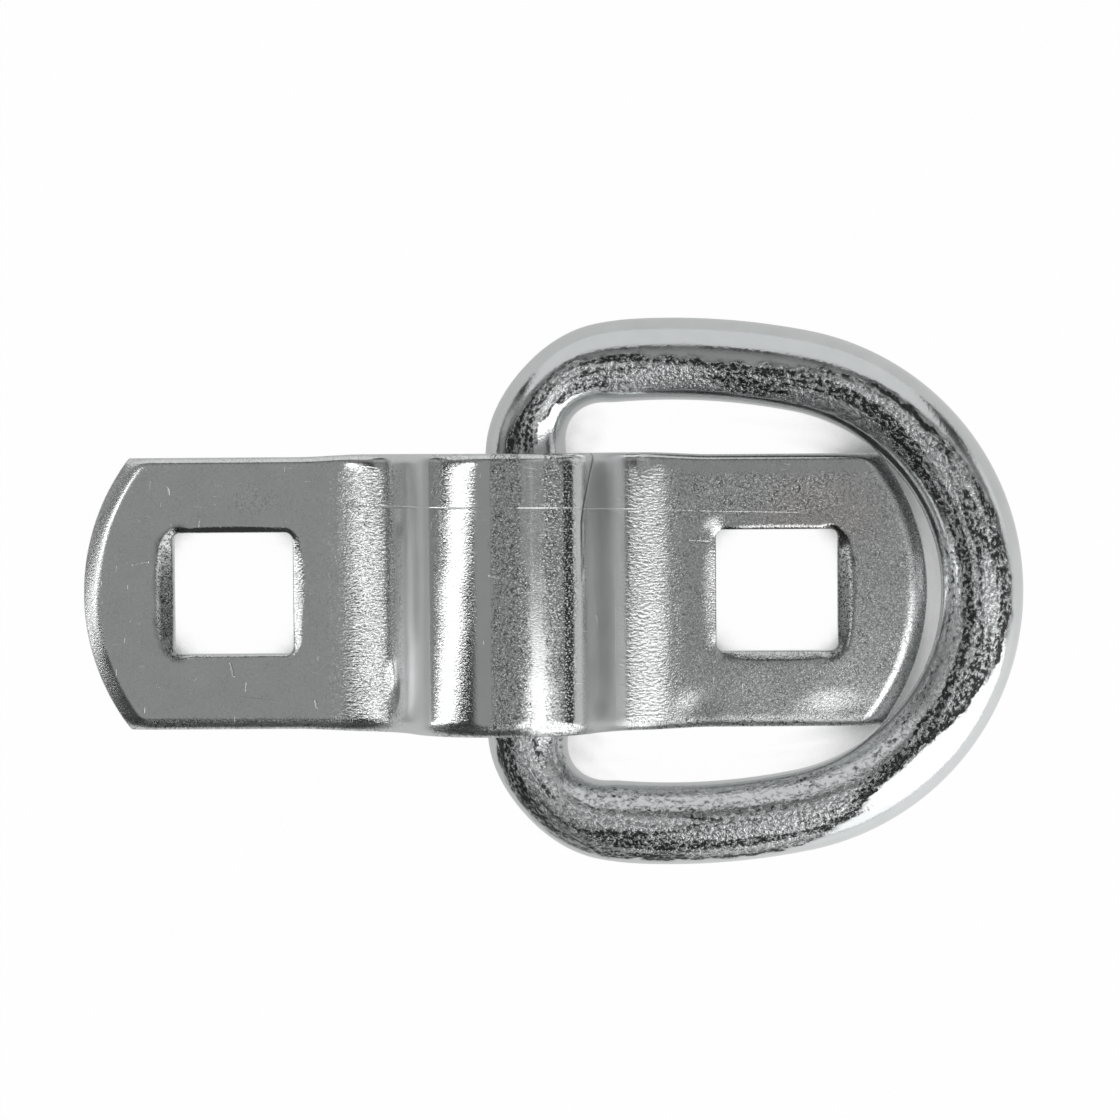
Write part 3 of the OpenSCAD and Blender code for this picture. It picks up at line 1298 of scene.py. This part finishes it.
        # Painted shade darkens the crease.
        tone = graph.plus(tone, crease, -self.crease_painted_shade)
        dull = graph.plus(graph.attribute("dull"), scratched, self.scratch_dull)
        dull = graph.plus(dull, dimple, self.dimple_dull)
        return self.finish(height, dull, tone, graph.attribute("warm"))


@dataclass
class RodZinc(Zinc):
    """Plating of the bent rod: smooth outside, deeply pitted along its crest."""

    grain: Mottle = Mottle(0.35)
    grain_height: float = 0.008
    pits: Mottle = Mottle(0.4, 3.0, 0.62)
    pit_stretch: Triple = (0.75, 1.0, 1.0)
    pit_height: float = 0.12
    ragged: Mottle = Mottle(0.5, 3.0, 0.6)
    ragged_amount: float = 0.55
    pitted_edge: Remap = Remap(0.35, 0.65)
    broad: Mottle = Mottle()
    broad_stretch: Triple = (0.09, 0.8, 0.8)
    dense: Remap = Remap(0.38, 0.6, 1.0, 0.3)
    # Bottoms of the pits: painted shade, and dullness there.
    pit_shade_and_dull: Remap = Remap(0.56, 0.42)
    pit_painted_shade: float = 1.1
    hollow_dull: float = 0.4
    shaded: Remap = Remap(0.44, 0.56, 1.0, 0.0)
    shaded_tone: float = 0.38
    border: Remap = Remap(-0.2, 0.15, 0.1, 1.0)
    border_tone: float = 0.6
    clouds: Mottle = Mottle(2.5, 3.0)
    cloud_dull: Remap = Remap(0.35, 0.7, 0.0, 0.4)
    cloud_warm: Remap = Remap(0.6, 0.8, 0.0, 0.1)

    def material(self) -> bpy.types.Material:
        """Builds the finish.

        Returns:
            The material of the ring.
        """
        graph = self.graph
        place = graph.attribute("rod", "Vector")
        drawn = graph.vector("MULTIPLY", place, self.pit_stretch)
        broad = graph.noise(graph.vector("MULTIPLY", place, self.broad_stretch), self.broad)
        ragged = graph.lumps(drawn, self.ragged, self.ragged_amount)
        pitted = graph.remap(graph.math("ADD", graph.attribute("pitting"), ragged), self.pitted_edge)
        pits = graph.noise(drawn, self.pits)
        deep = graph.math("MULTIPLY", graph.plus(-1.0, pits, 2.0), pitted)
        height = graph.plus(graph.lumps(place, self.grain, self.grain_height), deep, self.pit_height)
        pit_shade_and_dull = graph.math("MULTIPLY", graph.remap(pits, self.pit_shade_and_dull), pitted)
        pit_shade_and_dull = graph.math("MULTIPLY", pit_shade_and_dull, graph.remap(broad, self.dense))
        shaded = graph.math("MULTIPLY", graph.remap(broad, self.shaded), pitted)
        border = graph.math("MULTIPLY", graph.attribute("border"), graph.remap(ragged, self.border))
        cloud = graph.noise(place, self.clouds)
        tone = graph.plus(self.cloud_tone[0], cloud, self.cloud_tone[1])
        # Painted shade in the bottoms of the pits.
        tone = graph.plus(tone, pit_shade_and_dull, -self.pit_painted_shade)
        tone = graph.plus(tone, shaded, -self.shaded_tone)
        tone = graph.plus(tone, border, -self.border_tone)
        dull = graph.plus(graph.remap(cloud, self.cloud_dull), pit_shade_and_dull, self.hollow_dull)
        return self.finish(height, dull, tone, graph.remap(cloud, self.cloud_warm))


# Studio

class Outline(Enum):
    """Outlines of a soft light's face, by Blender's names."""

    PANEL = "RECTANGLE"
    OVAL = "ELLIPSE"


@dataclass(frozen=True)
class SoftLight:
    """Flat soft light that faces the object, in millimetres and degrees.

    Its plane stands square to a line from the object at the azimuth and polar angle. The offset moves its
    middle down and sideways in that plane, and the spin turns its first side away from straight down.
    """

    name: str
    azimuth: float
    polar: float
    distance: float
    size: Pair
    radiance: float
    offset: Pair = (0, 0)
    spin: float = 0
    outline: Outline = Outline.PANEL

    def build(self) -> bpy.types.Object:
        """Adds the light with the radiance of its face.

        Returns:
            The light.
        """
        lamp = bpy.data.lights.new(self.name, "AREA")
        lamp.shape = self.outline.value
        lamp.size, lamp.size_y = (side * MM for side in self.size)
        filled = math.pi / 4 if self.outline is Outline.OVAL else 1.0
        lamp.energy = self.radiance * math.pi * filled * lamp.size * lamp.size_y
        turn = turn_about("Z", self.azimuth) @ turn_about("Y", self.polar)
        middle = turn @ (Vector((*self.offset, self.distance)) * MM)
        light = shown(self.name, lamp)
        light.matrix_world = Matrix.Translation(middle) @ (turn @ turn_about("Z", self.spin)).to_4x4()
        return light


@dataclass
class Studio:
    """Pale floor, soft lights and the camera."""

    floor_size: float = 12000.0
    floor_drop: float = 0.02
    floor_paint: Triple = (0.68, 0.70, 0.68)
    shade_reach: float = 6.5
    shade_samples: int = 8
    shade: Remap = Remap(0.23, 0.38, 0.0, 0.985)
    # Painted pool of light: reflections see the floor glow brighter near this middle, in front of and right
    # of the object.
    glow_pool_middle: Triple = (0.10, -0.08, 0.0)
    mirrored: Remap = Remap(0.06, 0.1, 0.95, 0.44)
    ceiling: Remap = Remap(0.90, 0.945, 0.045, 0.33)
    horizon_low: Remap = Remap(0.08, 0.25, 0.0, 0.25)
    horizon_high: Remap = Remap(0.47, 0.53, 1.0, 0.0)
    camera_place: Triple = (16.0, 18.0, 450.0)
    camera_aim: Triple = (6.508, 3.707, 4.76)
    roll: float = -0.379
    lens: float = 123.12
    sensor: float = 36.0
    clip_start: float = 0.01
    soft_lights: tuple[SoftLight, ...] = (
        SoftLight("left_strip", 180, 45, 500, (650, 56), 2.9, offset=(75, 38.5), spin=17.7),
        SoftLight("left_scrim", 180, 72, 800, (300, 700), 0.22),
        SoftLight("front_right_oval", -39.4, 50, 520, (989, 426), 1.75, offset=(54, 40), spin=14.8,
                  outline=Outline.OVAL),
        SoftLight("front_low_panel", -58, 74, 700, (380, 400), 1.4),
        SoftLight("right_low_panel", 4, 85, 700, (190, 700), 0.62),
        SoftLight("back_scrim", 92, 66, 800, (800, 1700), 0.78, offset=(-17, 0)),
        SoftLight("right_scrim", 8, 42, 800, (620, 600), 0.27),
    )

    def floor_material(self) -> bpy.types.Material:
        """White to the camera but for a contact shade, and pale paint that also glows to the metal, with a
        painted pool of light in front of and right of the object that only reflections see.

        Returns:
            The floor's material.
        """
        made = bpy.data.materials.new("pale_floor")
        graph = Graph(made)
        seen = graph.add("ShaderNodeLightPath").outputs
        openness = graph.add(
            "ShaderNodeAmbientOcclusion", {"samples": self.shade_samples}, Distance=self.shade_reach * MM,
        ).outputs["AO"]
        shown_white = graph.math("MULTIPLY", graph.remap(openness, self.shade), seen["Is Camera Ray"])
        mirrored = graph.math("MAXIMUM", seen["Is Glossy Ray"], seen["Is Transmission Ray"])
        place = graph.add("ShaderNodeTexCoord").outputs["Object"]
        away = graph.vector("DISTANCE", place, self.glow_pool_middle, output="Value")
        # Glossy and transmission rays see the painted pool of light.
        share = graph.plus(shown_white, mirrored, graph.remap(away, self.mirrored))
        paint = graph.add("ShaderNodeBsdfDiffuse", Color=(*self.floor_paint, 1)).outputs[0]
        glow = graph.add("ShaderNodeEmission", Color=(1, 1, 1, 1), Strength=1.0).outputs[0]
        mixed = graph.add("ShaderNodeMixShader", in0=share, in1=paint, in2=glow).outputs[0]
        graph.add("ShaderNodeOutputMaterial", Surface=mixed)
        return made

    def floor(self) -> bpy.types.Object:
        """Lays the floor under the bracket's mounting surface.

        Returns:
            The floor.
        """
        bm = bmesh.new()
        bmesh.ops.create_grid(bm, x_segments=1, y_segments=1, size=self.floor_size * MM / 2)
        bmesh.ops.translate(bm, verts=bm.verts[:], vec=(0, 0, -self.floor_drop * MM))
        floor = shown_mesh(bm, "floor")
        floor.data.materials.append(self.floor_material())
        return floor

    def world(self) -> None:
        """Dim room with a soft grey ceiling over the camera and a pale horizon."""
        world = bpy.data.worlds.new("studio")
        bpy.context.scene.world = world
        graph = Graph(world)
        way = graph.add("ShaderNodeTexCoord").outputs["Generated"]
        parts = graph.add("ShaderNodeSeparateXYZ", Vector=way).outputs
        behind = graph.math(
            "MULTIPLY", graph.remap(parts["Y"], self.horizon_low), graph.remap(parts["Y"], self.horizon_high),
        )
        strength = graph.math("MAXIMUM", graph.remap(parts["Z"], self.ceiling), behind)
        glow = graph.add("ShaderNodeBackground", Strength=strength, Color=(1, 1, 1, 1))
        graph.add("ShaderNodeOutputWorld", Surface=glow.outputs[0])

    def camera(self) -> None:
        """Sets the camera almost straight above the object, as in the photograph."""
        lens = bpy.data.cameras.new("camera")
        lens.lens, lens.sensor_width, lens.clip_start = self.lens, self.sensor, self.clip_start
        camera = shown("camera", lens)
        bpy.context.scene.camera = camera
        place, aim = Vector(self.camera_place) * MM, Vector(self.camera_aim) * MM
        back = (place - aim).normalized()
        across = turn_about(back, self.roll) @ Vector((1, 0, 0))
        across = (across - back * across.dot(back)).normalized()
        turn = Matrix((across, back.cross(across), back)).transposed()
        camera.matrix_world = Matrix.Translation(place) @ turn.to_4x4()

    def build(self) -> None:
        """Builds the whole studio."""
        self.floor()
        self.world()
        for light in self.soft_lights:
            light.build()
        self.camera()
        bpy.context.scene.view_settings.view_transform = "Standard"


def main() -> None:
    """Builds the bracket, the ring and the studio in order."""
    logging.basicConfig(level=logging.INFO, format="%(name)s: %(message)s")
    for part in (MountingBracket(), TieRing()):
        part.dress(part.build())
    Studio().build()


if __name__ == "__main__":
    main()
